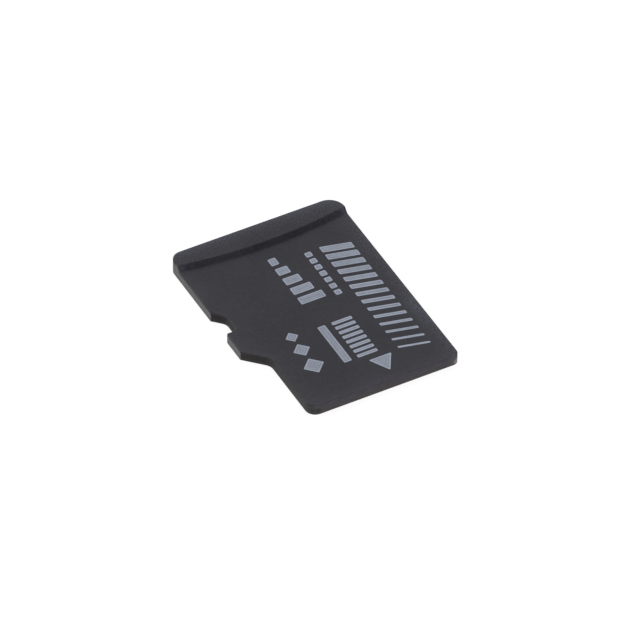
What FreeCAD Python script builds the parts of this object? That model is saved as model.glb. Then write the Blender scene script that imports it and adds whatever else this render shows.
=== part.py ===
import FreeCAD, Part
import math
import os

# Micro memory card in millimetres, lying label side up. The origin is the middle of the underside.
# +Y points to the pull lip at the rear, -Y to the contact end, -X to the notched side.

# Outline, measured along the notched side from the contact end to the rear
CARD_LENGTH = 15.0
CARD_WIDTH = 11.0
STEP_FROM_FRONT = 4.82
STEP_DEPTH = 1.30
STEP_ANGLE = 45.0
TAB_LENGTH = 1.69
NOTCH_DEPTH = 0.68
NOTCH_FLOOR = 1.31
NOTCH_ANGLE = 45.0

# Corner radii of the outline
FRONT_LEFT_RADIUS = 0.64
FRONT_RIGHT_RADIUS = 0.42
REAR_RIGHT_RADIUS = 1.03
REAR_LEFT_RADIUS = 0.66
STEP_INNER_RADIUS = 0.70
NOTCH_WALL_RADIUS = 0.34
NOTCH_SLANT_RADIUS = 0.60

# Thicknesses, from the underside up
SUBSTRATE_THICKNESS = 0.20
BODY_THICKNESS = 0.70
RIM_RADIUS = 0.08
RIM_MARGIN = 0.02

# Pull lip: its foot is an arc that bows towards the contact end
LIP_RISE = 0.30
LIP_DEPTH = 1.86
LIP_SLOPE_RUN = 0.28
LIP_ARC_RADIUS = 30.0
LIP_FOOT_RADIUS = 0.15

# Gold contacts on the underside, listed from the notched side
CONTACT_NAMES = ("data_2", "data_3", "command", "supply", "clock", "ground", "data_0", "data_1")
LONG_CONTACTS = ("supply", "ground")
CONTACT_SIDE_MARGIN = 0.60
CONTACT_GAP = 0.30
CONTACT_FRONT_MARGIN = 1.10
CONTACT_LENGTH = 2.90
LONG_CONTACT_LEAD = 0.58
CONTACT_RADIUS = 0.15
CONTACT_THICKNESS = 0.03
CONTACT_RECESS = 0.02

# Dies and the adhesive films under them
FILM_THICKNESS = 0.02
MEMORY_THICKNESS = 0.10
MEMORY_FRONT_MARGIN = 0.90
MEMORY_REAR_MARGIN = 2.30
MEMORY_SIDE_MARGIN = 0.40
MEMORY_NOTCH_MARGIN = 3.30
CONTROLLER_THICKNESS = 0.10
CONTROLLER_WIDTH = 1.80
CONTROLLER_LENGTH = 3.00
CONTROLLER_REAR_MARGIN = 1.30

# Bond wires from the dies to the board
WIRE_SIZE = 0.025
WIRE_PAD_INSET = 0.10
WIRE_LOOP_RISE = 0.08
WIRE_LOOP_OVERHANG = 0.12
WIRE_REACH = 0.45
WIRE_WEDGE_LENGTH = 0.10
MEMORY_WIRE_PITCH = 0.30
MEMORY_WIRE_MARGIN = 0.80
CONTROLLER_WIRE_PITCH = 0.16
CONTROLLER_WIRE_MARGIN = 0.18

# Chip capacitors and resistors in a column ahead of the controller
CAPACITOR_COUNT = 3
RESISTOR_COUNT = 2
CHIP_LENGTH = 0.60
CHIP_WIDTH = 0.30
CAPACITOR_HEIGHT = 0.30
RESISTOR_HEIGHT = 0.23
CHIP_TERMINAL = 0.15
CHIP_TERMINAL_STEP = 0.02
CHIP_GAP = 0.40

# Sizes and places that follow from those above. The rim runs over the tab's corners, the notch's end and
# the lip's crest, so their radii are a little larger than its own.
SMALL_CORNER_RADIUS = RIM_RADIUS + RIM_MARGIN
LIP_CREST_RADIUS = RIM_RADIUS + RIM_MARGIN
LEFT = -CARD_WIDTH / 2
RIGHT = CARD_WIDTH / 2
FRONT = -CARD_LENGTH / 2
REAR = CARD_LENGTH / 2
NARROW_LEFT = LEFT + STEP_DEPTH
NOTCH_LEFT = LEFT + NOTCH_DEPTH
STEP_Y = FRONT + STEP_FROM_FRONT
TAB_FRONT_Y = STEP_Y + STEP_DEPTH / math.tan(math.radians(STEP_ANGLE))
TAB_REAR_Y = TAB_FRONT_Y + TAB_LENGTH
NOTCH_SLANT_Y = TAB_REAR_Y + NOTCH_FLOOR
NOTCH_END_Y = NOTCH_SLANT_Y + NOTCH_DEPTH / math.tan(math.radians(NOTCH_ANGLE))
LIP_TOP = BODY_THICKNESS + LIP_RISE
LIP_FOOT_Y = REAR - LIP_DEPTH
LIP_AXIS_Y = LIP_FOOT_Y + LIP_ARC_RADIUS
DIE_BASE = SUBSTRATE_THICKNESS + FILM_THICKNESS
MEMORY_LEFT = LEFT + MEMORY_NOTCH_MARGIN
MEMORY_RIGHT = RIGHT - MEMORY_SIDE_MARGIN
MEMORY_FRONT = FRONT + MEMORY_FRONT_MARGIN
MEMORY_REAR = REAR - MEMORY_REAR_MARGIN
CONTROLLER_X = (LEFT + MEMORY_LEFT) / 2
CONTROLLER_REAR = REAR - CONTROLLER_REAR_MARGIN
CONTROLLER_FRONT = CONTROLLER_REAR - CONTROLLER_LENGTH

ORIGIN = FreeCAD.Vector(0, 0, 0)
X_AXIS = FreeCAD.Vector(1, 0, 0)
Z_AXIS = FreeCAD.Vector(0, 0, 1)
RIGHT_CORNERS = 1
TOLERANCE = 1e-4


def rounded_outline(corners):
    """Closed wire through (x, y, radius) corners, each turned by a tangent arc that fits its sides."""
    points = [FreeCAD.Vector(x, y, 0) for x, y, radius in corners]
    edges = []
    joints = []
    for index, (x, y, radius) in enumerate(corners):
        here = points[index]
        back = points[index - 1] - here
        ahead = points[(index + 1) % len(points)] - here
        half_angle = back.getAngle(ahead) / 2
        reach = min(radius / math.tan(half_angle), back.Length / 2, ahead.Length / 2)
        fitted_radius = reach * math.tan(half_angle)
        back.normalize()
        ahead.normalize()
        start = here + back * reach
        end = here + ahead * reach
        joints.append((start, end))
        if reach > 0:
            bisector = (back + ahead).normalize()
            middle = here + bisector * (fitted_radius / math.sin(half_angle) - fitted_radius)
            edges.append(Part.Arc(start, middle, end).toShape())
    for index, (start, end) in enumerate(joints):
        edges.append(Part.LineSegment(joints[index - 1][1], start).toShape())
    return Part.Wire(Part.__sortEdges__(edges))


def rounded_rectangle(left, front, right, rear, radius):
    """Closed wire of a rectangle with four like corners."""
    return rounded_outline([
        (left, front, radius),
        (right, front, radius),
        (right, rear, radius),
        (left, rear, radius),
    ])


def prism(outline, bottom, top):
    """Solid with a flat outline, standing between two heights."""
    solid = Part.Face(outline).extrude(Z_AXIS * (top - bottom))
    solid.translate(Z_AXIS * bottom)
    return solid


def block(left, front, right, rear, bottom, top):
    """Plain rectangular solid between two corners."""
    return Part.makeBox(right - left, rear - front, top - bottom, FreeCAD.Vector(left, front, bottom))


def card_outline():
    """Outline of the whole card, counter-clockwise from the contact end on the notched side."""
    return rounded_outline([
        (NARROW_LEFT, FRONT, FRONT_LEFT_RADIUS),
        (RIGHT, FRONT, FRONT_RIGHT_RADIUS),
        (RIGHT, REAR, REAR_RIGHT_RADIUS),
        (LEFT, REAR, REAR_LEFT_RADIUS),
        (LEFT, NOTCH_END_Y, SMALL_CORNER_RADIUS),
        (NOTCH_LEFT, NOTCH_SLANT_Y, NOTCH_SLANT_RADIUS),
        (NOTCH_LEFT, TAB_REAR_Y, NOTCH_WALL_RADIUS),
        (LEFT, TAB_REAR_Y, SMALL_CORNER_RADIUS),
        (LEFT, TAB_FRONT_Y, SMALL_CORNER_RADIUS),
        (NARROW_LEFT, STEP_Y, STEP_INNER_RADIUS),
    ])


def lip_block():
    """Rear end of the card at the lip's full height."""
    front = LIP_FOOT_Y - LIP_DEPTH
    outline = rounded_outline([
        (LEFT, front, 0),
        (RIGHT, front, 0),
        (RIGHT, REAR, REAR_RIGHT_RADIUS),
        (LEFT, REAR, REAR_LEFT_RADIUS),
    ])
    return prism(outline, SUBSTRATE_THICKNESS, LIP_TOP)


def lip_sweep():
    """Solid of revolution whose edge is the lip's slope, about the axis of the lip's arc."""
    crest_radius = LIP_ARC_RADIUS - LIP_SLOPE_RUN
    base_radius = LIP_ARC_RADIUS + LIP_SLOPE_RUN
    section = Part.Face(rounded_outline([
        (0, SUBSTRATE_THICKNESS, 0),
        (base_radius, SUBSTRATE_THICKNESS, 0),
        (base_radius, BODY_THICKNESS, 0),
        (LIP_ARC_RADIUS, BODY_THICKNESS, LIP_FOOT_RADIUS),
        (crest_radius, LIP_TOP, LIP_CREST_RADIUS),
        (0, LIP_TOP, 0),
    ]))
    axis_foot = FreeCAD.Vector(0, LIP_AXIS_Y, 0)
    section.rotate(ORIGIN, X_AXIS, 90)
    section.translate(axis_foot)
    return section.revolve(axis_foot, Z_AXIS, 360)


def round_rim(solid):
    """Round the upper edge all the way round the card, over the body and the lip."""
    walls = card_outline().extrude(Z_AXIS * LIP_TOP)
    rim = []
    for edge in solid.Edges:
        middle = Part.Vertex(edge.valueAt((edge.FirstParameter + edge.LastParameter) / 2))
        above_walls = edge.BoundBox.ZMin > BODY_THICKNESS - TOLERANCE
        if above_walls and middle.distToShape(walls)[0] < TOLERANCE:
            rim.append(edge)
    return solid.makeFillet(RIM_RADIUS, rim)


def make_mould_body(inner_pieces):
    """Moulded body with its pull lip, cast round the pieces that stand on the board."""
    body = prism(card_outline(), SUBSTRATE_THICKNESS, BODY_THICKNESS)
    lip = lip_block().common(lip_sweep())
    return round_rim(body.fuse(lip).removeSplitter()).cut(inner_pieces)


def contact_outlines():
    """Outline of each contact by name, in a row that fills the narrow front."""
    front_width = RIGHT - NARROW_LEFT
    count = len(CONTACT_NAMES)
    width = (front_width - 2 * CONTACT_SIDE_MARGIN - (count - 1) * CONTACT_GAP) / count
    outlines = {}
    for index, name in enumerate(CONTACT_NAMES):
        left = NARROW_LEFT + CONTACT_SIDE_MARGIN + index * (width + CONTACT_GAP)
        front = FRONT + CONTACT_FRONT_MARGIN
        rear = front + CONTACT_LENGTH
        if name in LONG_CONTACTS:
            front -= LONG_CONTACT_LEAD
        outlines[name] = rounded_rectangle(left, front, left + width, rear, CONTACT_RADIUS)
    return outlines


def make_contacts():
    """Gold contacts, each lying a little deeper than the underside."""
    top = CONTACT_RECESS + CONTACT_THICKNESS
    return {
        "contact_" + name: prism(outline, CONTACT_RECESS, top)
        for name, outline in contact_outlines().items()
    }


def make_substrate():
    """Laminate board with a pocket for each contact in its underside."""
    board = prism(card_outline(), 0, SUBSTRATE_THICKNESS)
    depth = CONTACT_RECESS + CONTACT_THICKNESS
    return board.cut([prism(outline, 0, depth) for outline in contact_outlines().values()])


def make_die_stack(name, left, front, right, rear, thickness):
    """Die and the adhesive film of the same outline under it."""
    return {
        name + "_die": block(left, front, right, rear, DIE_BASE, DIE_BASE + thickness),
        name + "_die_film": block(left, front, right, rear, SUBSTRATE_THICKNESS, DIE_BASE),
    }


def bond_wire(x, edge_y, outward, die_top):
    """Wire that rises from a die's pad, clears the die's edge and lies down on the board."""
    half = WIRE_SIZE / 2
    loop_top = die_top + WIRE_LOOP_RISE
    board_line = SUBSTRATE_THICKNESS + half
    stations = [
        (-WIRE_PAD_INSET, die_top),
        (-WIRE_PAD_INSET, loop_top),
        (WIRE_LOOP_OVERHANG, loop_top),
        (WIRE_REACH, board_line),
        (WIRE_REACH + WIRE_WEDGE_LENGTH, board_line),
    ]
    path = Part.makePolygon([FreeCAD.Vector(x, edge_y + outward * out, z) for out, z in stations])
    pad_y = edge_y - outward * WIRE_PAD_INSET
    foot = rounded_rectangle(x - half, pad_y - half, x + half, pad_y + half, 0)
    foot.translate(Z_AXIS * die_top)
    return path.makePipeShell([foot], True, False, RIGHT_CORNERS)


def wire_row(left, right, pitch, margin):
    """Evenly spaced places of a row of wires, centred on a die's edge."""
    gaps = int((right - left - 2 * margin) / pitch)
    first = (left + right - gaps * pitch) / 2
    return [first + index * pitch for index in range(gaps + 1)]


def make_memory_wires():
    """Row of wires along the memory die's rear edge."""
    die_top = DIE_BASE + MEMORY_THICKNESS
    row = wire_row(MEMORY_LEFT, MEMORY_RIGHT, MEMORY_WIRE_PITCH, MEMORY_WIRE_MARGIN)
    return Part.makeCompound([bond_wire(x, MEMORY_REAR, 1, die_top) for x in row])


def make_controller_wires():
    """Rows of wires along the controller's front and rear edges."""
    die_top = DIE_BASE + CONTROLLER_THICKNESS
    half = CONTROLLER_WIDTH / 2
    row = wire_row(CONTROLLER_X - half, CONTROLLER_X + half, CONTROLLER_WIRE_PITCH, CONTROLLER_WIRE_MARGIN)
    rear_wires = [bond_wire(x, CONTROLLER_REAR, 1, die_top) for x in row]
    front_wires = [bond_wire(x, CONTROLLER_FRONT, -1, die_top) for x in row]
    return Part.makeCompound(rear_wires + front_wires)


def chip(x, y, height):
    """Chip part with a ceramic middle between two slightly larger metal ends."""
    half_length = CHIP_LENGTH / 2
    half_width = CHIP_WIDTH / 2
    step = CHIP_TERMINAL_STEP
    base = SUBSTRATE_THICKNESS
    top = base + height
    middle = block(x - half_length + step, y - half_width + step, x + half_length - step,
                   y + half_width - step, base + step, top - step)
    left_end = block(x - half_length, y - half_width, x - half_length + CHIP_TERMINAL,
                     y + half_width, base, top)
    right_end = block(x + half_length - CHIP_TERMINAL, y - half_width, x + half_length,
                      y + half_width, base, top)
    return middle.fuse([left_end, right_end]).removeSplitter()


def make_chips():
    """Column of capacitors and resistors, from the controller's front wires towards the contact end."""
    names = ["capacitor_{}".format(number + 1) for number in range(CAPACITOR_COUNT)]
    names += ["resistor_{}".format(number + 1) for number in range(RESISTOR_COUNT)]
    x = (NOTCH_LEFT + MEMORY_LEFT) / 2
    first_y = CONTROLLER_FRONT - WIRE_REACH - WIRE_WEDGE_LENGTH - CHIP_GAP - CHIP_WIDTH / 2
    chips = {}
    for index, name in enumerate(names):
        height = CAPACITOR_HEIGHT if name.startswith("capacitor") else RESISTOR_HEIGHT
        chips[name] = chip(x, first_y - index * (CHIP_WIDTH + CHIP_GAP), height)
    return chips


def make_card():
    """Every piece of the card by name."""
    half = CONTROLLER_WIDTH / 2
    inner = make_die_stack("memory", MEMORY_LEFT, MEMORY_FRONT, MEMORY_RIGHT, MEMORY_REAR, MEMORY_THICKNESS)
    inner.update(make_die_stack("controller", CONTROLLER_X - half, CONTROLLER_FRONT, CONTROLLER_X + half,
                                CONTROLLER_REAR, CONTROLLER_THICKNESS))
    inner["memory_bond_wires"] = make_memory_wires()
    inner["controller_bond_wires"] = make_controller_wires()
    inner.update(make_chips())
    pieces = {"mould_body": make_mould_body(list(inner.values())), "substrate": make_substrate()}
    pieces.update(make_contacts())
    pieces.update(inner)
    return pieces


os.makedirs("parts", exist_ok=True)
for node, shape in make_card().items():
    shape.exportStep("parts/{}.step".format(node))
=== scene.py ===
"""Looks of a micro memory card, laid out as an add-on and run as a script.

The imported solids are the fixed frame, in metres: label side up, lip towards +Y, notch towards -X.
"""

import math

import bmesh
import bpy
from mathutils import Matrix, Vector


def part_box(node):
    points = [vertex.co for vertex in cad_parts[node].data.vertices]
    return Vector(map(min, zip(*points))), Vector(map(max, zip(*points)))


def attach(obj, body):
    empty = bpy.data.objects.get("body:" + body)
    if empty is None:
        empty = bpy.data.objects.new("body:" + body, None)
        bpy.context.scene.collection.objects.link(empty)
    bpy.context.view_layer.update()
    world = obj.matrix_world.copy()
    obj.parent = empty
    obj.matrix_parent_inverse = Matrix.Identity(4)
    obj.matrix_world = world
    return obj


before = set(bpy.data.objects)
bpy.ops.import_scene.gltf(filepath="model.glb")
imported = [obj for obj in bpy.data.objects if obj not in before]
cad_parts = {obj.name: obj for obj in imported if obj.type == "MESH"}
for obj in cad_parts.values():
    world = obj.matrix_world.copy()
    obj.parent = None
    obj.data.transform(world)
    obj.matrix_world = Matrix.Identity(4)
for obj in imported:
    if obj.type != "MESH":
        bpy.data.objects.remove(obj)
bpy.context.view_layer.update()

bl_info = {
    "name": "Micro Memory Card",
    "version": (1, 0, 0),
    "blender": (4, 5, 0),
    "location": "3D View > Sidebar > Card",
    "description": "Finishes, print and studio for a micro memory card",
    "category": "Object",
}

MM = 0.001
BODY = "root"
MOULD_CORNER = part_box("mould_body")[1]
HALF_WIDTH_MM = MOULD_CORNER.x / MM
HALF_LENGTH_MM = MOULD_CORNER.y / MM
LIP_TOP_MM = MOULD_CORNER.z / MM
LABEL_TOP_MM = 0.7
LABEL_TOP = LABEL_TOP_MM * MM

# Places along the outline in millimetres that the finishes follow
NARROW_LEFT_MM = -4.20
STEP_FRONT_MM = -2.68
STEP_REAR_MM = -1.38
TAB_FADE_MM = (0.31, 1.51)
LIP_SIDE_FOOT_MM = 6.15
LIP_SIDE_CREST_MM = 6.43
AHEAD_OF_LIP_MM = (4.8, 5.2)
RIM_BAND_MM = 0.125

# Where a wall's finish fades, in millimetres in from the outline
FRONT_FADE_MM = (0.30, 0.06)
SAWN_SIDE_FADE_MM = (0.01, 0.04)
SAWN_END_FADE_MM = (0.01, 0.16)
OUTER_RIM_FADE_MM = (0.08, 0.14)

# Colours and tints of single places on the walls
FRONT_LOW_TINT = (0.93, 0.885, 0.96, 1.0)
FRONT_HIGH_TINT = (0.84, 0.80, 0.963, 1.0)
FRONT_TINT_HEIGHTS_MM = (0.38, 0.64)
SLANT_TINT = (1.09, 0.96, 1.04, 1.0)
LAYER_TINT = (0.96, 0.905, 0.875, 1.0)
# Board's sawn sides: darker, partly their own colour and partly painted shade near the floor
SAWN_LAYER_TINT_AND_SHADE = (0.85, 0.835, 0.805, 1.0)
SOILED_COLOUR = (0.030, 0.027, 0.026, 1.0)
# Colour of a painted highlight at the foot of the front right corner
GLINT_COLOUR = (0.64, 0.64, 0.65, 1.0)

# Marks in millimetres: on the corners of the contact end a painted highlight, a soiled spot and a spot of
# painted light; a paler band in from the right edge; a worn lip
GLINT_CORNER_MM = (5.32, -7.42, 0.18)
SOILED_CORNER_MM = (-3.71, -7.48, 0.27)
PAINTED_LIGHT_CORNER_MM = (-4.02, -7.31, 0.63)
PALE_BAND_FRONT_MM = (-4.7, -3.7)
PALE_BAND_REAR_MM = (-2.2, -1.3)
PALE_BAND_WIDTH_MM = (0.50, 1.05)
WORN_LIP_MM = (5.6, 6.4)

# Inner and outer radius in millimetres, and strength, of those spots
GLINT_SPOT = (0.10, 0.32, 0.90)
SOILED_SPOT = (0.08, 0.28, 0.55)
PAINTED_LIGHT_SPOT = (0.06, 0.28, 0.45)

# Along the sides, in millimetres in from the outline: painted light on the front right corner, wear on the
# right side, and painted light on the lip's ends
PAINTED_LIGHT_RIGHT_FADE_MM = (0.90, 0.25)
WORN_RIGHT_FADE_MM = (1.10, 0.40)
LIP_END_FADE_MM = (0.55, 0.10)

# Strength and reach in millimetres of the painted glow along each edge of the label side; on the front edge
# it lifts the shade of the rounded edge
EDGE_GLOW = {
    "right": (1.00, 0.50),
    "rear": (1.60, 0.36),
    "front": (0.42, 0.60),
    "front edge": (0.30, 0.10),
    "left": (0.34, 0.60),
}

# Profile of the lip's arc-fronted slope in millimetres, as the solid has it
LIP_ARC_MM = 30.0
LIP_FOOT_MM = 5.64
LIP_RUN_MM = 0.28
LIP_RISE_MM = 0.30
LIP_FOOT_ROUND_MM = 0.15
LIP_CREST_ROUND_MM = 0.10

# Where the profile takes over from the mesh, in millimetres into the lip and in from the sides
PROFILE_START_MM = (-0.20, -0.12)
PROFILE_END_MM = (0.40, 0.48)
PROFILE_SIDE_FADE_MM = (0.12, 0.20)

# Copper tracks under the mask, in millimetres
PAD_REAR_MM = -3.50
TRACK_HALF_MM = 0.06
TRACK_FADE_MM = 0.02
VIA_MM = 0.16
VIA_HOLE_MM = 0.06
JOG_START_MM = 0.6
JOG_END_MM = 1.5
JOG_MM = 0.9

# Depth of each finish's relief
EPOXY_RELIEF = 0.006 * MM
MASK_RELIEF = 0.004 * MM
INK_RELIEF = 0.004 * MM
GOLD_RELIEF = 0.0012 * MM

# Grain of the label side in pits to the millimetre, which the ink follows
FACE_FINENESS = 22.0

# Pairs of colours that a finish drifts between
FILM_COLOURS = ((0.42, 0.27, 0.11, 1.0), (0.60, 0.42, 0.20, 1.0))
WIRE_COLOURS = ((0.78, 0.52, 0.18, 1.0), (0.90, 0.66, 0.28, 1.0))
TIN_COLOURS = ((0.60, 0.60, 0.59, 1.0), (0.74, 0.74, 0.73, 1.0))

# Chips
TERMINAL_MM = 0.15
TERMINAL_EDGE_MM = 0.005
CAPACITOR_COLOUR = (0.42, 0.28, 0.17)
RESISTOR_COLOUR = (0.05, 0.05, 0.055)

# Ink: its passes, the attribute that places them, and the corners of the marks
INK_PASS_MM = 0.15
FIRST_PASS_MM = 0.05
PASS_FADE = (0.25, 0.28)
INSIDE_FADE_MM = (0.06, 0.16)
GAP_LAYER = "edge_gaps"
CORNER_SEGMENTS = 5
LARGEST_CORNER_SHARE = 0.45

# Places of the printed marks on the label side
HATCH_START = (3.55 * MM, 3.80 * MM)
DOT_START = (1.80 * MM, 4.00 * MM)
LEVEL_START = (-0.55 * MM, 4.40 * MM)
TOOTH_START = (0.85 * MM, -1.85 * MM)
COMB_MIDDLE = (-0.45 * MM, -3.39 * MM)
ARROW_MIDDLE = (1.35 * MM, -5.95 * MM)
DIAMOND_COLUMN = -2.35 * MM

# Place along the card and reach of each diamond
DIAMONDS = ((-1.75 * MM, 0.42 * MM), (-2.95 * MM, 0.54 * MM), (-4.43 * MM, 0.66 * MM))

# Studio: softboxes in metres, the floor's lift to white, the sensor, and clipping as a share of the distance
SOFTBOX_DISTANCE = 0.30
SOFTBOX_SIDE = 0.20
KEY_DIRECTION = (0.35, 0.65, 0.68)
SIDE_DIRECTION = (-0.80, 0.25, 0.55)
WHITE_LIFT = 0.90
SENSOR_MM = 36.0
CLIP_NEAR_SHARE = 0.1
CLIP_FAR_SHARE = 20

CONTACT_NODES = sorted(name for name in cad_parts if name.startswith("contact_"))
DIE_NODES = ("memory_die", "controller_die")
FILM_NODES = ("memory_die_film", "controller_die_film")
WIRE_NODES = ("memory_bond_wires", "controller_bond_wires")
CAPACITOR_NODES = sorted(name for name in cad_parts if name.startswith("capacitor_"))
RESISTOR_NODES = sorted(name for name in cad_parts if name.startswith("resistor_"))


# Settings that a user would change


def colour_setting(name, description, default):
    """Linear colour shown as a swatch."""
    return bpy.props.FloatVectorProperty(
        name=name, description=description, default=default, subtype="COLOR", size=3, min=0.0, max=1.0
    )


def length_setting(name, description, millimetres):
    """Length in metres, given in millimetres."""
    return bpy.props.FloatProperty(
        name=name, description=description, default=millimetres * MM, unit="LENGTH", precision=5
    )


def angle_setting(name, description, degrees):
    """Angle in radians, given in degrees."""
    return bpy.props.FloatProperty(
        name=name, description=description, default=math.radians(degrees), subtype="ANGLE"
    )


def power_setting(name, description, watts):
    """Power of a lamp in watts."""
    return bpy.props.FloatProperty(
        name=name, description=description, default=watts, unit="POWER", min=0.0, precision=3
    )


class CardFinishSettings(bpy.types.PropertyGroup):
    """Colours of the card's surfaces."""

    mould_colour: colour_setting("Moulding", "Matt epoxy of the label side", (0.0255, 0.0255, 0.0335))
    sawn_colour: colour_setting("Sawn wall", "Straight walls that the saw left", (0.176, 0.172, 0.176))
    cut_colour: colour_setting("Cut wall", "Stepped and notched walls", (0.049, 0.048, 0.048))
    # Rim: painted shade and light of the walls' rounded upper edge, darker than the sawn walls and paler
    # than the top face
    rim_colour: colour_setting("Rim", "Rubbed upper edge of the walls", (0.046, 0.044, 0.049))
    mask_colour: colour_setting("Solder mask", "Mask on the underside", (0.012, 0.012, 0.013))
    track_colour: colour_setting("Tracks", "Copper that shows through the mask", (0.040, 0.036, 0.028))
    gold_colour: colour_setting("Contact gold", "Plating of the contacts", (0.83, 0.58, 0.22))
    ink_colour: colour_setting("Ink", "Printed marks", (0.276, 0.304, 0.374))


class CardPrintSettings(bpy.types.PropertyGroup):
    """Sizes of the printed marks."""

    ink_thickness: length_setting("Ink thickness", "How far the ink stands off the label side", 0.006)
    ink_rounding: length_setting("Ink rounding", "Radius of the marks' corners", 0.08)
    hatch_height: length_setting("Hatch height", "Height of the slanted bars", 1.88)
    hatch_widest: length_setting("Widest bar", "Width of the first slanted bar", 0.52)
    hatch_narrowest: length_setting("Narrowest bar", "Width of the last slanted bar", 0.16)
    hatch_pitch: length_setting("Hatch pitch", "Step from one slanted bar to the next", 0.72)
    hatch_slant: angle_setting("Hatch slant", "Lean of the slanted bars", 14.0)
    dot_side: length_setting("Dot side", "Side of the small squares", 0.42)
    dot_pitch: length_setting("Dot pitch", "Step from one square to the next", 0.60)
    level_width: length_setting("Level width", "Width of the rising bars", 0.62)
    level_pitch: length_setting("Level pitch", "Step from one rising bar to the next", 0.92)
    level_lowest: length_setting("Lowest level", "Height of the first rising bar", 0.50)
    level_growth: length_setting("Level growth", "How much higher the next rising bar is", 0.275)
    tooth_width: length_setting("Tooth width", "Width of the comb's teeth", 0.26)
    tooth_length: length_setting("Tooth length", "Length of the comb's teeth", 1.30)
    tooth_pitch: length_setting("Tooth pitch", "Step from one tooth to the next", 0.44)
    comb_length: length_setting("Comb length", "Length of the bar beside the teeth", 3.34)
    comb_width: length_setting("Comb width", "Width of the bar beside the teeth", 0.50)
    arrow_reach: length_setting("Arrow reach", "From the triangle's middle to its corners", 0.85)
    arrow_rounding: length_setting("Arrow rounding", "Radius of the triangle's corners", 0.10)
    diamond_rounding: length_setting("Diamond rounding", "Radius of the diamonds' corners", 0.05)


class CardStageSettings(bpy.types.PropertyGroup):
    """Floor, lamps and camera."""

    floor_size: length_setting("Floor size", "Side of the square floor", 4000.0)
    floor_colour: colour_setting("Floor", "Colour of the floor", (0.15, 0.15, 0.15))
    key_power: power_setting("Key lamp", "Softbox behind the card that its label side mirrors", 0.23)
    side_power: power_setting("Side lamp", "Softbox towards the notched side", 0.42)
    world_strength: bpy.props.FloatProperty(
        name="Surround", description="Even light from all round", default=0.53, min=0.0
    )
    camera_azimuth: angle_setting("Camera azimuth", "Turn of the camera about the card", -28.140)
    camera_elevation: angle_setting("Camera elevation", "Height of the camera above the horizon", 42.785)
    camera_roll: angle_setting("Camera roll", "Turn of the camera about its own view", 0.109)
    camera_distance: length_setting("Camera distance", "Distance of the camera from the card", 518.4)
    camera_lens: bpy.props.FloatProperty(
        name="Lens", description="Focal length on a 36 mm sensor", default=506.38, subtype="NONE"
    )
    camera_aside: length_setting("Camera aside", "Shift of the aim to the right", 0.3640)
    camera_above: length_setting("Camera above", "Shift of the aim upwards", -0.2929)


# Shader helpers


def place(tree, kind, label, **options):
    """Add a node with a label and its own options."""
    node = tree.nodes.new(kind)
    node.label = label
    for option, value in options.items():
        setattr(node, option, value)
    return node


def feed(tree, target, source):
    """Link a socket to another, or set its value."""
    if isinstance(source, bpy.types.NodeSocket):
        tree.links.new(source, target)
    else:
        target.default_value = source


def maths(tree, label, operation, first, second=0.0, third=0.0):
    """Math node on numbers or sockets."""
    node = place(tree, "ShaderNodeMath", label, operation=operation)
    for target, source in zip(node.inputs, (first, second, third)):
        feed(tree, target, source)
    return node.outputs[0]


def ramp(tree, label, value, low, high, start=0.0, end=1.0, interpolation="SMOOTHSTEP"):
    """Step of a value between two limits, smooth unless it is told otherwise."""
    node = place(tree, "ShaderNodeMapRange", label, interpolation_type=interpolation)
    for target, source in zip(node.inputs, (value, low, high, start, end)):
        feed(tree, target, source)
    return node.outputs[0]


def mix_colour(tree, label, factor, first, second, blend="MIX"):
    """Blend of two colours."""
    node = place(tree, "ShaderNodeMix", label, data_type="RGBA", blend_type=blend)
    feed(tree, node.inputs[0], factor)
    feed(tree, node.inputs[6], first)
    feed(tree, node.inputs[7], second)
    return node.outputs[2]


def tint(tree, label, colour, level):
    """Colour times a level or another colour."""
    return mix_colour(tree, label, 1.0, colour, level, "MULTIPLY")


def mix_value(tree, label, factor, first, second):
    """Blend of two numbers."""
    node = place(tree, "ShaderNodeMix", label, data_type="FLOAT")
    feed(tree, node.inputs[0], factor)
    feed(tree, node.inputs[2], first)
    feed(tree, node.inputs[3], second)
    return node.outputs[0]


def opposite(tree, label, mask):
    """One less a mask."""
    return maths(tree, label, "SUBTRACT", 1.0, mask)


def hypotenuse(tree, label, first, second):
    """Length across two sides that meet at a right angle."""
    first_square = maths(tree, label + " first square", "MULTIPLY", first, first)
    second_square = maths(tree, label + " second square", "MULTIPLY", second, second)
    return maths(tree, label, "SQRT", maths(tree, label + " squares", "ADD", first_square, second_square))


def side_gap(tree, place_x):
    """Gap in millimetres to the nearer side of the card."""
    return maths(tree, "to the sides", "SUBTRACT", HALF_WIDTH_MM, maths(tree, "aside", "ABSOLUTE", place_x))


def right_gap(tree, place_x):
    """Gap in millimetres to the right side of the card."""
    return maths(tree, "to the right", "SUBTRACT", HALF_WIDTH_MM, place_x)


def noise(tree, label, vector, scale, detail=2.0, roughness=0.5):
    """Noise value at a scale in features to the millimetre."""
    node = place(tree, "ShaderNodeTexNoise", label)
    feed(tree, node.inputs["Vector"], vector)
    feed(tree, node.inputs["Scale"], scale)
    feed(tree, node.inputs["Detail"], detail)
    feed(tree, node.inputs["Roughness"], roughness)
    return node.outputs[0]


def stretch(tree, label, vector, factors):
    """Vector with each axis scaled by its own factor."""
    node = place(tree, "ShaderNodeVectorMath", label, operation="MULTIPLY")
    feed(tree, node.inputs[0], vector)
    feed(tree, node.inputs[1], factors)
    return node.outputs[0]


def parts_of(tree, label, vector):
    """The three parts of a vector."""
    node = place(tree, "ShaderNodeSeparateXYZ", label)
    feed(tree, node.inputs[0], vector)
    return node.outputs


def opaque(colour):
    """Colour with full alpha."""
    return (colour[0], colour[1], colour[2], 1.0)


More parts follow.
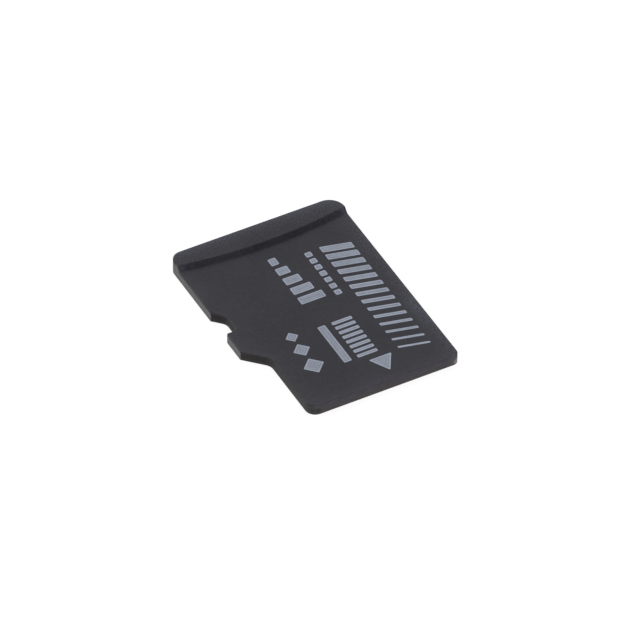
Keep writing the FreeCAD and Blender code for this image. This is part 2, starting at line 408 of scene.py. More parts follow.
def new_group(name, inputs, outputs):
    """Empty shader group with named sockets, and its two end nodes."""
    tree = bpy.data.node_groups.new(name, "ShaderNodeTree")
    for socket, kind in inputs:
        tree.interface.new_socket(socket, in_out="INPUT", socket_type=kind)
    for socket, kind in outputs:
        tree.interface.new_socket(socket, in_out="OUTPUT", socket_type=kind)
    return tree, tree.nodes.new("NodeGroupInput").outputs, tree.nodes.new("NodeGroupOutput").inputs


def use_group(tree, maker, label, **values):
    """Place a group, which its maker builds once, and set its inputs."""
    name = maker.__name__.removesuffix("_group").replace("_", " ").title()
    group = bpy.data.node_groups.get(name) or maker()
    node = place(tree, "ShaderNodeGroup", label, node_tree=group)
    for socket, source in values.items():
        feed(tree, node.inputs[socket], source)
    return node.outputs


# Effects that several materials share


def moulded_grain_group():
    """Fine matt grain over slow cloudy drift, as a mould's eroded face leaves it."""
    tree, given, out = new_group(
        "Moulded Grain",
        [("Position", "NodeSocketVector"), ("Fineness", "NodeSocketFloat")],
        [("Height", "NodeSocketFloat"), ("Tone", "NodeSocketFloat")],
    )
    coarse_scale = maths(tree, "coarse scale", "MULTIPLY", given["Fineness"], 0.22)
    fine = noise(tree, "pits", given["Position"], given["Fineness"], 2.0, 0.6)
    coarse = noise(tree, "clusters", given["Position"], coarse_scale, 2.0, 0.5)
    cloud = noise(tree, "cloud", given["Position"], 0.45, 3.0, 0.55)
    height = maths(tree, "pits on clusters", "MULTIPLY_ADD", coarse, 0.7, fine)
    feed(tree, out["Height"], height)
    grain_tone = ramp(tree, "grain tone", fine, 0.3, 0.7, -0.5, 0.5)
    cluster_tone = ramp(tree, "cluster tone", coarse, 0.3, 0.7, -0.5, 0.5)
    cloud_tone = ramp(tree, "cloud tone", cloud, 0.3, 0.7, -0.5, 0.5)
    tone = maths(tree, "grain on cloud", "MULTIPLY_ADD", grain_tone, 0.6, cloud_tone)
    feed(tree, out["Tone"], maths(tree, "tone", "MULTIPLY_ADD", cluster_tone, 0.8, tone))
    return tree


def card_walls_group():
    """Masks of the upright walls: sawn straight ones, slanted ones and the rim along the upper edge."""
    tree, given, out = new_group(
        "Card Walls",
        [("Position", "NodeSocketVector"), ("Direction", "NodeSocketVector")],
        [("Wall", "NodeSocketFloat"), ("Sawn", "NodeSocketFloat"), ("Slant", "NodeSocketFloat"),
         ("Rim", "NodeSocketFloat"), ("Front", "NodeSocketFloat")],
    )
    place_x, place_y, place_z = parts_of(tree, "place", given["Position"])
    turn_x, turn_y, turn_z = parts_of(tree, "direction", given["Direction"])
    upward = maths(tree, "upward", "ABSOLUTE", turn_z)
    front_gap = maths(tree, "to the front", "ADD", place_y, HALF_LENGTH_MM)
    front = ramp(tree, "front", front_gap, *FRONT_FADE_MM)
    feed(tree, out["Front"], front)
    wall_start = maths(tree, "wall start", "MULTIPLY_ADD", front, -0.10, 0.05)
    wall_end = maths(tree, "wall end", "MULTIPLY_ADD", front, 0.80, 0.40)
    feed(tree, out["Wall"], ramp(tree, "wall", upward, wall_start, wall_end, 1.0, 0.0))
    beside = side_gap(tree, place_x)
    along = maths(tree, "along", "ABSOLUTE", place_y)
    end_gap = maths(tree, "to the ends", "SUBTRACT", HALF_LENGTH_MM, along)
    edge_gap = maths(tree, "to the box", "MINIMUM", beside, end_gap)
    sawn_sides = ramp(tree, "sawn sides", beside, *SAWN_SIDE_FADE_MM, 1.0, 0.0)
    sawn_ends = ramp(tree, "sawn ends", end_gap, *SAWN_END_FADE_MM, 1.0, 0.0)
    feed(tree, out["Sawn"], maths(tree, "sawn", "MAXIMUM", sawn_sides, sawn_ends))
    across_by_along = maths(tree, "across by along", "MULTIPLY", turn_x, turn_y)
    both_ways = maths(tree, "both ways", "ABSOLUTE", across_by_along)
    upward_squared = maths(tree, "upward squared", "MULTIPLY", turn_z, turn_z)
    level_part = maths(tree, "level part", "SUBTRACT", 1.02, upward_squared)
    diagonal = maths(tree, "diagonal", "DIVIDE", both_ways, level_part)
    behind = ramp(tree, "behind the front", place_y, STEP_FRONT_MM - 0.9, STEP_FRONT_MM - 0.3)
    slant = maths(tree, "slant", "MULTIPLY", ramp(tree, "turned", diagonal, 0.25, 0.45), behind)
    feed(tree, out["Slant"], slant)
    edge_height = ramp(tree, "height of the edge", place_y, LIP_SIDE_FOOT_MM, LIP_SIDE_CREST_MM,
                       LABEL_TOP_MM, LIP_TOP_MM)
    below = maths(tree, "below the edge", "SUBTRACT", edge_height, place_z)
    below = maths(tree, "deeper on slants", "MULTIPLY_ADD", slant, -0.03, below)
    near = ramp(tree, "near the edge", below, RIM_BAND_MM * 0.7, RIM_BAND_MM * 1.3, 1.0, 0.0)
    off_level = ramp(tree, "off level", upward, 0.90, 0.99, 1.0, 0.0)
    outer = maths(tree, "off the lip's slope", "MAXIMUM",
                  ramp(tree, "outer edge", edge_gap, *OUTER_RIM_FADE_MM, 1.0, 0.0),
                  ramp(tree, "ahead of the lip", place_y, *AHEAD_OF_LIP_MM, 1.0, 0.0))
    rim = maths(tree, "near and tilted", "MULTIPLY", near, off_level)
    rim = maths(tree, "behind the front edge", "MULTIPLY", rim, opposite(tree, "not front", front))
    feed(tree, out["Rim"], maths(tree, "rim", "MULTIPLY", rim, outer))
    return tree


def cut_marks_group():
    """Streaks along a cut and small torn pits, for walls parted by saw or jet."""
    tree, given, out = new_group(
        "Cut Marks",
        [("Position", "NodeSocketVector"), ("Stretch", "NodeSocketVector")],
        [("Streaks", "NodeSocketFloat"), ("Pits", "NodeSocketFloat")],
    )
    along = stretch(tree, "along the cut", given["Position"], given["Stretch"])
    streaks = noise(tree, "streaks", along, 1.0, 3.0, 0.6)
    feed(tree, out["Streaks"], ramp(tree, "streak range", streaks, 0.25, 0.75))
    pits = noise(tree, "torn pits", given["Position"], 14.0, 2.0, 0.6)
    feed(tree, out["Pits"], ramp(tree, "pit range", pits, 0.56, 0.72))
    return tree


def fine_scuffs_group():
    """Sparse hairline scuffs along one direction."""
    tree, given, out = new_group(
        "Fine Scuffs",
        [("Position", "NodeSocketVector"), ("Stretch", "NodeSocketVector")],
        [("Scuffs", "NodeSocketFloat")],
    )
    along = stretch(tree, "along the scuff", given["Position"], given["Stretch"])
    lines = noise(tree, "hairlines", along, 1.0, 1.0, 0.5)
    patches = noise(tree, "where they lie", given["Position"], 0.6, 2.0, 0.5)
    line_mask = ramp(tree, "line mask", lines, 0.62, 0.74)
    patch_mask = ramp(tree, "patch mask", patches, 0.45, 0.65)
    feed(tree, out["Scuffs"], maths(tree, "scuffs", "MULTIPLY", line_mask, patch_mask))
    return tree


# Materials


def bare_material(name):
    """Material whose tree holds only an output, and that output's surface."""
    material = bpy.data.materials.new(name)
    material.use_nodes = True
    tree = material.node_tree
    tree.nodes.clear()
    output = place(tree, "ShaderNodeOutputMaterial", "output")
    return material, tree, output.inputs["Surface"]


def new_material(name):
    """Material with its tree, its shader and the place on the object in millimetres."""
    material, tree, surface = bare_material(name)
    shader = place(tree, "ShaderNodeBsdfPrincipled", "surface")
    tree.links.new(shader.outputs[0], surface)
    coordinates = place(tree, "ShaderNodeTexCoord", "object place")
    millimetres = place(tree, "ShaderNodeMapping", "millimetres")
    millimetres.inputs["Scale"].default_value = (1 / MM, 1 / MM, 1 / MM)
    tree.links.new(coordinates.outputs["Object"], millimetres.inputs["Vector"])
    return material, tree, shader, millimetres.outputs[0]


def object_normal(tree):
    """Outward direction in object space."""
    return place(tree, "ShaderNodeTexCoord", "object direction").outputs["Normal"]


def lip_direction(tree, position, normal):
    """Outward direction in object space, with the lip's rounded foot and crest taken from its profile."""
    slope = math.atan2(LIP_RISE_MM, LIP_RUN_MM)
    foot_start = -LIP_FOOT_ROUND_MM * math.tan(slope / 2)
    crest_end = LIP_RUN_MM + LIP_CREST_ROUND_MM * math.tan(slope / 2)
    place_x, place_y = parts_of(tree, "lip place", position)[:2]
    along = maths(tree, "from the arc's centre", "SUBTRACT", place_y, LIP_FOOT_MM + LIP_ARC_MM)
    away = hypotenuse(tree, "distance from it", place_x, along)
    into = maths(tree, "into the lip", "SUBTRACT", LIP_ARC_MM, away)
    past_foot = maths(tree, "past the foot", "SUBTRACT", into, foot_start)
    before_crest = maths(tree, "before the crest", "SUBTRACT", crest_end, into)
    foot = maths(tree, "foot lean", "DIVIDE", past_foot, LIP_FOOT_ROUND_MM)
    crest = maths(tree, "crest lean", "DIVIDE", before_crest, LIP_CREST_ROUND_MM)
    lean = maths(tree, "either lean", "MINIMUM", foot, crest)
    lean = maths(tree, "lesser lean", "MINIMUM", lean, math.sin(slope))
    lean = maths(tree, "lean", "MAXIMUM", lean, 0.0)
    lean_squared = maths(tree, "lean squared", "MULTIPLY", lean, lean)
    share = maths(tree, "lean share", "DIVIDE", lean, away)
    profile = place(tree, "ShaderNodeCombineXYZ", "profile direction")
    feed(tree, profile.inputs[0], maths(tree, "sideways", "MULTIPLY", place_x, share))
    feed(tree, profile.inputs[1], maths(tree, "forwards", "MULTIPLY", along, share))
    feed(tree, profile.inputs[2], maths(tree, "rise", "SQRT", opposite(tree, "rest", lean_squared)))

    near = maths(tree, "near the slope", "MULTIPLY", ramp(tree, "past the label", into, *PROFILE_START_MM),
                 ramp(tree, "before the rear", into, *PROFILE_END_MM, 1.0, 0.0))
    off_sides = ramp(tree, "off the sides", side_gap(tree, place_x), *PROFILE_SIDE_FADE_MM)
    inner = maths(tree, "between the sides", "MULTIPLY", near, off_sides)
    upward = ramp(tree, "facing up", parts_of(tree, "mesh direction", normal)[2], 0.35, 0.50)
    blend = place(tree, "ShaderNodeMix", "even direction", data_type="VECTOR")
    feed(tree, blend.inputs[0], maths(tree, "on the lip", "MULTIPLY", inner, upward))
    feed(tree, blend.inputs[4], normal)
    feed(tree, blend.inputs[5], profile.outputs[0])
    return blend.outputs[1]


def relief(tree, shader, height, depth, direction=None):
    """Bump of a depth in metres on the shader's normal, or on a direction in object space."""
    bump = place(tree, "ShaderNodeBump", "relief")
    if direction is not None:
        turn = place(tree, "ShaderNodeVectorTransform", "to the world", vector_type="NORMAL",
                     convert_from="OBJECT", convert_to="WORLD")
        feed(tree, turn.inputs[0], direction)
        feed(tree, bump.inputs["Normal"], turn.outputs[0])
    bump.inputs["Strength"].default_value = 1.0
    bump.inputs["Distance"].default_value = depth
    tree.links.new(height, bump.inputs["Height"])
    tree.links.new(bump.outputs[0], shader.inputs["Normal"])


def edge_rub(tree, label, gap, strength, reach):
    """Lightening that falls away from an edge over a reach in millimetres."""
    scaled = maths(tree, label + " scaled", "MULTIPLY", gap, -1.0 / reach)
    return maths(tree, label, "MULTIPLY", maths(tree, label + " fall", "EXPONENT", scaled), strength)


def handled_edges(tree, place_x, place_y):
    """Brightness of the label side: painted glow that makes it paler towards its edges, and a paler band in
    from the right side.
    """
    left_edge = ramp(tree, "left edge", place_y, STEP_FRONT_MM, STEP_REAR_MM, NARROW_LEFT_MM, -HALF_WIDTH_MM,
                     interpolation="LINEAR")
    right = right_gap(tree, place_x)
    front = maths(tree, "to the front", "ADD", place_y, HALF_LENGTH_MM)
    gaps = {
        "right": right,
        "rear": maths(tree, "to the rear", "SUBTRACT", HALF_LENGTH_MM, place_y),
        "front": front,
        "front edge": front,
        "left": maths(tree, "to the left", "SUBTRACT", place_x, left_edge),
    }
    # A paler band in from the right side, between two places along the card
    pale_band = maths(tree, "smear length", "MULTIPLY", ramp(tree, "smear front", place_y, *PALE_BAND_FRONT_MM),
                  ramp(tree, "smear rear", place_y, *PALE_BAND_REAR_MM, 1.0, 0.0))
    total = maths(tree, "pale_band", "MULTIPLY", pale_band,
                  ramp(tree, "smear width", right, *PALE_BAND_WIDTH_MM, 0.36, 0.0))
    # Painted glow that falls away from each edge
    for edge, (strength, reach) in EDGE_GLOW.items():
        painted_light = edge_rub(tree, edge + " rub", gaps[edge], strength, reach)
        total = maths(tree, "and " + edge, "ADD", total, painted_light)
    return maths(tree, "edge brightness", "ADD", total, 1.0)


def spot(tree, label, position, centre, near, far, strength):
    """A soft round spot of the given strength about one point, in millimetres."""
    away = place(tree, "ShaderNodeVectorMath", label + " distance", operation="DISTANCE")
    feed(tree, away.inputs[0], position)
    feed(tree, away.inputs[1], centre)
    return ramp(tree, label, away.outputs["Value"], near, far, strength, 0.0)


def cut_wall(tree, finish, walls, streaks, place_y):
    """Walls that were cut to shape: worn paler towards the contact end, and on the slants painted with the
    light and shade that each slant gets, and tinted warmer.
    """
    tone = ramp(tree, "cut tone", streaks, 0.0, 1.0, 0.75, 1.25)
    wear = ramp(tree, "wear to the front", place_y, -HALF_LENGTH_MM, STEP_FRONT_MM, 1.42, 0.88)
    slant_shade = ramp(tree, "shade of each slant", place_y, STEP_REAR_MM, -STEP_REAR_MM, 1.06, 0.84)
    shade = mix_value(tree, "slant shade", walls["Slant"], 1.0, slant_shade)
    worn_tone = maths(tree, "worn tone", "MULTIPLY", tone, wear)
    level = maths(tree, "cut level", "MULTIPLY", worn_tone, shade)
    colour = tint(tree, "cut wall", opaque(finish.cut_colour), level)
    tinted = tint(tree, "tinted slant", colour, SLANT_TINT)
    return mix_colour(tree, "slant tint", walls["Slant"], colour, tinted)


def sawn_wall(tree, finish, walls, streaks, place_y, place_z):
    """Straight walls that the saw left: a little paler on the tab, tinted at the contact end."""
    tone = ramp(tree, "sawn tone", streaks, 0.0, 1.0, 0.80, 1.20)
    tab_lift = ramp(tree, "tab lift", place_y, *TAB_FADE_MM, 1.06, 1.0)
    colour = tint(tree, "sawn wall", opaque(finish.sawn_colour), tone)
    colour = tint(tree, "lifted tab", colour, tab_lift)
    up_front = ramp(tree, "up the front", place_z, *FRONT_TINT_HEIGHTS_MM)
    front_tint = mix_colour(tree, "front tints", up_front, FRONT_LOW_TINT, FRONT_HIGH_TINT)
    tinted = tint(tree, "tinted front", colour, front_tint)
    return mix_colour(tree, "front tint", walls["Front"], colour, tinted)


def worn_corners(tree, walls, colour, position, place_x):
    """Wall colour at the contact end: painted light on both corners, a soiled spot on the left one and a
    painted highlight on the right one.
    """
    # Painted light on the walls of the front right corner, which face away from the lamps
    right_corner_light = ramp(tree, "painted right corner", right_gap(tree, place_x), *PAINTED_LIGHT_RIGHT_FADE_MM, 1.0, 1.40)
    colour = mix_colour(tree, "with right corner", walls["Front"], colour,
                        tint(tree, "painted walls", colour, right_corner_light))
    # Painted light under the rim of the front left corner
    left_corner_light = spot(tree, "painted left corner", position, PAINTED_LIGHT_CORNER_MM, *PAINTED_LIGHT_SPOT)
    colour = tint(tree, "with left corner", colour, maths(tree, "left corner level", "ADD", 1.0, left_corner_light))
    soiled = spot(tree, "soiled", position, SOILED_CORNER_MM, *SOILED_SPOT)
    colour = mix_colour(tree, "with soil", soiled, colour, SOILED_COLOUR)
    # Painted highlight at the foot of the front right corner
    glint = spot(tree, "glint", position, GLINT_CORNER_MM, *GLINT_SPOT)
    return mix_colour(tree, "with glint", glint, colour, GLINT_COLOUR)


def wall_colour(tree, finish, walls, saw_streaks, cut_streaks, position):
    """Colour of all the walls, pale where sawn and darker where cut."""
    place_x, place_y, place_z = parts_of(tree, "wall place", position)
    cut = cut_wall(tree, finish, walls, cut_streaks, place_y)
    sawn = sawn_wall(tree, finish, walls, saw_streaks, place_y, place_z)
    both = mix_colour(tree, "walls", walls["Sawn"], cut, sawn)
    return worn_corners(tree, walls, both, position, place_x)


def face_grain(tree, grain, position, place_x, place_y):
    """Tone of the label side's grain, which a fine speckle makes stronger on the lip and the right side."""
    worn_lip = ramp(tree, "worn lip", place_y, *WORN_LIP_MM)
    worn_right = ramp(tree, "worn right side", right_gap(tree, place_x), *WORN_RIGHT_FADE_MM, 0.0, 0.8)
    worn = maths(tree, "worn", "MAXIMUM", worn_lip, worn_right)
    speckle = noise(tree, "worn grain", position, 11.0, 2.0, 0.5)
    speckle = ramp(tree, "worn grain tone", speckle, 0.3, 0.7, -0.40, 0.40)
    tone = ramp(tree, "face tone", grain["Tone"], -1.2, 1.2, 0.72, 1.28)
    return maths(tree, "worn face tone", "MULTIPLY_ADD", speckle, worn, tone)


def lip_end_rub(tree, normal, place_x):
    """Brightness of the lip's slope, with painted light that makes its two ends paler."""
    tilted = ramp(tree, "tilted", parts_of(tree, "direction", normal)[2], 0.80, 0.97, 1.0, 0.0)
    lip_end = ramp(tree, "lip end", side_gap(tree, place_x), *LIP_END_FADE_MM)
    tilted_end = maths(tree, "tilted end", "MULTIPLY", tilted, lip_end)
    share = ramp(tree, "share of each end", place_x, -1.0, 1.0, 0.40, 0.85)
    return maths(tree, "lip rub", "MULTIPLY_ADD", tilted_end, share, 1.0)


def moulded_epoxy(finish):
    """Matt moulding with paler sawn walls, darker cut walls, a rim painted with the shade and light of a
    rounded edge, and painted light towards the label side's edges and on the lip's ends.
    """
    material, tree, shader, position = new_material("moulded_epoxy")
    shader.inputs["Specular IOR Level"].default_value = 0.2
    normal = lip_direction(tree, position, object_normal(tree))
    place_x, place_y = parts_of(tree, "place", position)[:2]
    walls = use_group(tree, card_walls_group, "walls", Position=position, Direction=normal)
    grain = use_group(tree, moulded_grain_group, "grain", Position=position, Fineness=FACE_FINENESS)
    saw_marks = use_group(tree, cut_marks_group, "saw marks", Position=position, Stretch=(1.6, 1.6, 34.0))
    jet_marks = use_group(tree, cut_marks_group, "jet marks", Position=position, Stretch=(18.0, 18.0, 3.0))

    face_tone = face_grain(tree, grain, position, place_x, place_y)
    face_level = maths(tree, "face level", "MULTIPLY", face_tone, handled_edges(tree, place_x, place_y))
    # Painted light on the two ends of the lip's slope
    face_level = maths(tree, "with lip ends", "MULTIPLY", face_level, lip_end_rub(tree, normal, place_x))
    face = tint(tree, "moulded face", opaque(finish.mould_colour), face_level)
    upright = wall_colour(tree, finish, walls, saw_marks["Streaks"], jet_marks["Streaks"], position)
    # Painted shade and light on the rim: much darker than the sawn walls below it, and paler on the slants,
    # whose rims face away from the lamps
    slant_painted_light = ramp(tree, "slant rub", walls["Slant"], 0.0, 1.0, 1.0, 1.20)
    rim_level = maths(tree, "rim level", "MULTIPLY", face_tone, slant_painted_light)
    rim = tint(tree, "painted rim", opaque(finish.rim_colour), rim_level)
    colour = mix_colour(tree, "faces and walls", walls["Wall"], face, upright)
    feed(tree, shader.inputs["Base Color"], mix_colour(tree, "with rim", walls["Rim"], colour, rim))

    face_rough = ramp(tree, "face roughness", grain["Tone"], -1.2, 1.2, 0.52, 0.62)
    wall_rough = ramp(tree, "wall roughness", walls["Wall"], 0.0, 1.0, 0.0, 0.18)
    feed(tree, shader.inputs["Roughness"], maths(tree, "roughness", "ADD", face_rough, wall_rough))
    wall_height = maths(tree, "wall height", "ADD", saw_marks["Streaks"], jet_marks["Pits"])
    height = mix_value(tree, "height", walls["Wall"], grain["Height"], wall_height)
    relief(tree, shader, height, EPOXY_RELIEF, direction=normal)
    return material


def mask_tracks(tree, place_x, place_y):
    """Copper tracks that run back from the contacts, jog aside and end in round vias."""
    centres = sorted(sum(corner.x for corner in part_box(name)) / 2 / MM for name in CONTACT_NODES)
    pitch = (centres[-1] - centres[0]) / (len(centres) - 1)
    half_row = len(centres) / 2
    jog = ramp(tree, "jog aside", place_y, PAD_REAR_MM + JOG_START_MM, PAD_REAR_MM + JOG_END_MM, 0.0, JOG_MM,
               interpolation="LINEAR")
    jogged = maths(tree, "jogged", "ADD", place_x, jog)
    from_first = maths(tree, "from the first", "SUBTRACT", jogged, centres[0] - pitch / 2)
    across = maths(tree, "across", "DIVIDE", from_first, pitch)
    number = maths(tree, "track number", "FLOOR", across)
    off_middle = maths(tree, "off middle", "SUBTRACT", across, half_row)
    middle = maths(tree, "from the middle", "ABSOLUTE", off_middle)
    in_row = ramp(tree, "in the row", middle, half_row - 0.01, half_row, 1.0, 0.0)
    share = maths(tree, "share of pitch", "SUBTRACT", maths(tree, "part pitch", "FRACT", across), 0.5)
    aside = maths(tree, "from the line", "ABSOLUTE", maths(tree, "in millimetres", "MULTIPLY", share, pitch))
    chance = place(tree, "ShaderNodeTexWhiteNoise", "chance", noise_dimensions="1D")
    feed(tree, chance.inputs["W"], number)
    end = ramp(tree, "track end", chance.outputs["Value"], 0.0, 1.0, -1.0, HALF_LENGTH_MM - 1.0)
    past = maths(tree, "past the end", "SUBTRACT", place_y, end)
    line = ramp(tree, "line", aside, TRACK_HALF_MM, TRACK_HALF_MM + TRACK_FADE_MM, 1.0, 0.0)
    before_end = ramp(tree, "before the end", past, -TRACK_FADE_MM / 2, TRACK_FADE_MM / 2, 1.0, 0.0)
    line = maths(tree, "up to the end", "MULTIPLY", line, before_end)
    line = maths(tree, "from the contacts", "MULTIPLY", line,
                 ramp(tree, "behind the contacts", place_y, PAD_REAR_MM - 0.05, PAD_REAR_MM))
    away = hypotenuse(tree, "from the via", aside, past)
    ring = maths(tree, "via", "SUBTRACT",
                 ramp(tree, "pad", away, VIA_MM, VIA_MM + TRACK_FADE_MM, 1.0, 0.0),
                 ramp(tree, "hole", away, VIA_HOLE_MM, VIA_HOLE_MM + TRACK_FADE_MM, 0.7, 0.0))
    return maths(tree, "tracks in the row", "MULTIPLY", maths(tree, "tracks", "MAXIMUM", line, ring), in_row)


def laminate_board(finish):
    """Black mask over faint tracks on the flat side, and walls like the moulding's, a little browner, and
    darker on the sawn sides, partly with painted shade near the floor.
    """
    material, tree, shader, position = new_material("laminate_board")
    shader.inputs["Specular IOR Level"].default_value = 0.35
    place_x, place_y = parts_of(tree, "place", position)[:2]
    walls = use_group(tree, card_walls_group, "walls", Position=position, Direction=object_normal(tree))
    grain = use_group(tree, moulded_grain_group, "mask peel", Position=position, Fineness=6.0)
    fibres = use_group(tree, cut_marks_group, "glass layers", Position=position, Stretch=(1.2, 1.2, 55.0))
    tracks = mask_tracks(tree, place_x, place_y)
    mask_tone = ramp(tree, "mask tone", grain["Tone"], -1.2, 1.2, 0.8, 1.2)
    mask = tint(tree, "mask", opaque(finish.mask_colour), mask_tone)
    mask = mix_colour(tree, "tracks under mask", tracks, mask, opaque(finish.track_colour))
    edge = wall_colour(tree, finish, walls, fibres["Streaks"], fibres["Streaks"], position)
    not_front = opposite(tree, "not front", walls["Front"])
    sawn_sides = maths(tree, "sawn sides", "MULTIPLY", walls["Sawn"], not_front)
    # Darker on the sawn sides: partly the board's own colour, partly painted shade near the floor
    layers = mix_colour(tree, "layer tint", sawn_sides, LAYER_TINT, SAWN_LAYER_TINT_AND_SHADE)
    edge = tint(tree, "browner layers", edge, layers)
    feed(tree, shader.inputs["Base Color"], mix_colour(tree, "mask and edge", walls["Wall"], mask, edge))
    feed(tree, shader.inputs["Roughness"], ramp(tree, "roughness", walls["Wall"], 0.0, 1.0, 0.36, 0.74))
    height = maths(tree, "height", "MULTIPLY_ADD", tracks, 1.6, grain["Height"])
    relief(tree, shader, height, MASK_RELIEF)
    return material


def contact_gold(finish):
    """Satin plating with faint wipe marks along the card."""
    material, tree, shader, position = new_material("contact_gold")
    shader.inputs["Metallic"].default_value = 1.0
    grain = use_group(tree, moulded_grain_group, "plating grain", Position=position, Fineness=60.0)
    scuffs = use_group(tree, fine_scuffs_group, "wipe marks", Position=position, Stretch=(30.0, 0.5, 1.0))
    tone = ramp(tree, "tone", grain["Tone"], -1.2, 1.2, 0.94, 1.05)
    wiped = ramp(tree, "wiped", scuffs["Scuffs"], 0.0, 1.0, 1.0, 0.82)
    level = maths(tree, "wiped tone", "MULTIPLY", tone, wiped)
    feed(tree, shader.inputs["Base Color"], tint(tree, "gold", opaque(finish.gold_colour), level))
    feed(tree, shader.inputs["Roughness"], ramp(tree, "roughness", scuffs["Scuffs"], 0.0, 1.0, 0.24, 0.46))
    height = maths(tree, "height", "MULTIPLY_ADD", scuffs["Scuffs"], -1.5, grain["Height"])
    relief(tree, shader, height, GOLD_RELIEF)
    return material


def ink_passes(tree):
    """Brightness of the passes that fill a mark, one inside the other along its edge."""
    gaps = place(tree, "ShaderNodeAttribute", "gaps to the sides", attribute_name=GAP_LAYER)
    colours = place(tree, "ShaderNodeSeparateColor", "three gaps")
    tree.links.new(gaps.outputs["Color"], colours.inputs[0])
    nearest = maths(tree, "nearest of two", "MINIMUM", colours.outputs[0], colours.outputs[1])
    nearest = maths(tree, "nearest of three", "MINIMUM", nearest, colours.outputs[2])
    nearest = maths(tree, "nearest side", "MINIMUM", nearest, gaps.outputs["Alpha"])
    first = maths(tree, "from the first pass", "SUBTRACT", nearest, FIRST_PASS_MM)
    turns = maths(tree, "turns", "MULTIPLY", first, 2.0 * math.pi / INK_PASS_MM)
    fade = edge_rub(tree, "fade inwards", nearest, *PASS_FADE)
    inner = ramp(tree, "thinner inside", nearest, *INSIDE_FADE_MM, 1.0, 0.88)
    return maths(tree, "passes", "MULTIPLY_ADD", maths(tree, "wave", "COSINE", turns), fade, inner)


def printed_ink(finish):
    """Thin matt ink that follows the grain under it."""
    material, tree, shader, position = new_material("printed_ink")
    shader.inputs["Specular IOR Level"].default_value = 0.3
    grain = use_group(tree, moulded_grain_group, "grain under ink",
                      Position=position, Fineness=FACE_FINENESS)
    tone = ramp(tree, "tone", grain["Tone"], -1.0, 1.0, 0.88, 1.12)
    level = maths(tree, "level", "MULTIPLY", tone, ink_passes(tree))
    feed(tree, shader.inputs["Base Color"], tint(tree, "ink", opaque(finish.ink_colour), level))
    feed(tree, shader.inputs["Roughness"], ramp(tree, "roughness", grain["Tone"], -1.0, 1.0, 0.55, 0.68))
    relief(tree, shader, grain["Height"], INK_RELIEF)
    return material


def ground_silicon():
    """Die with faint cell blocks under its glassy top."""
    material, tree, shader, position = new_material("ground_silicon")
    shader.inputs["Metallic"].default_value = 0.35
    blocks = place(tree, "ShaderNodeTexBrick", "cell blocks", offset=0.0)
    values = {
        "Vector": position,
        "Color1": (0.10, 0.11, 0.15, 1.0),
        "Color2": (0.12, 0.13, 0.18, 1.0),
        "Mortar": (0.22, 0.22, 0.24, 1.0),
        "Scale": 1.0,
        "Mortar Size": 0.02,
        "Brick Width": 1.1,
        "Row Height": 0.55,
    }
    for socket, source in values.items():
        feed(tree, blocks.inputs[socket], source)
    tree.links.new(blocks.outputs["Color"], shader.inputs["Base Color"])
    feed(tree, shader.inputs["Roughness"], noise(tree, "polish", position, 3.0))
    return material


def adhesive_film():
    """Amber film under a die."""
    material, tree, shader, position = new_material("adhesive_film")
    drift = noise(tree, "drift", position, 2.0, 3.0)
    feed(tree, shader.inputs["Base Color"], mix_colour(tree, "film", drift, *FILM_COLOURS))
    feed(tree, shader.inputs["Roughness"], ramp(tree, "roughness", drift, 0.0, 1.0, 0.35, 0.6))
    return material


def drawn_gold():
    """Bright drawn wire."""
    material, tree, shader, position = new_material("drawn_gold")
    shader.inputs["Metallic"].default_value = 1.0
    lines = noise(tree, "draw lines", stretch(tree, "along", position, (90.0, 6.0, 90.0)), 1.0)
    feed(tree, shader.inputs["Base Color"], mix_colour(tree, "wire", lines, *WIRE_COLOURS))
    feed(tree, shader.inputs["Roughness"], ramp(tree, "roughness", lines, 0.0, 1.0, 0.18, 0.34))
    return material


def chip_ceramic(name, node, body_colour):
    """Fired chip body with tinned metal ends, measured from the box of one chip of a column."""
    material, tree, shader, position = new_material(name)
    low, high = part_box(node)
    middle = (low.x + high.x) / 2 / MM
    reach = (high.x - low.x) / 2 / MM
    place_x = parts_of(tree, "place", position)[0]
    aside = maths(tree, "from middle", "ABSOLUTE", maths(tree, "offset", "SUBTRACT", place_x, middle))
    tinned = ramp(tree, "tinned end", aside, reach - TERMINAL_MM - TERMINAL_EDGE_MM,
                  reach - TERMINAL_MM + TERMINAL_EDGE_MM)
    speckle = noise(tree, "fired speckle", position, 24.0, 3.0)
    darker = [channel * 0.8 for channel in body_colour]
    paler = [channel * 1.2 for channel in body_colour]
    fired = mix_colour(tree, "fired body", speckle, opaque(darker), opaque(paler))
    tin = mix_colour(tree, "tin", speckle, *TIN_COLOURS)
    feed(tree, shader.inputs["Base Color"], mix_colour(tree, "body and ends", tinned, fired, tin))
    feed(tree, shader.inputs["Metallic"], tinned)
    feed(tree, shader.inputs["Roughness"], ramp(tree, "roughness", speckle, 0.0, 1.0, 0.3, 0.5))
    return material


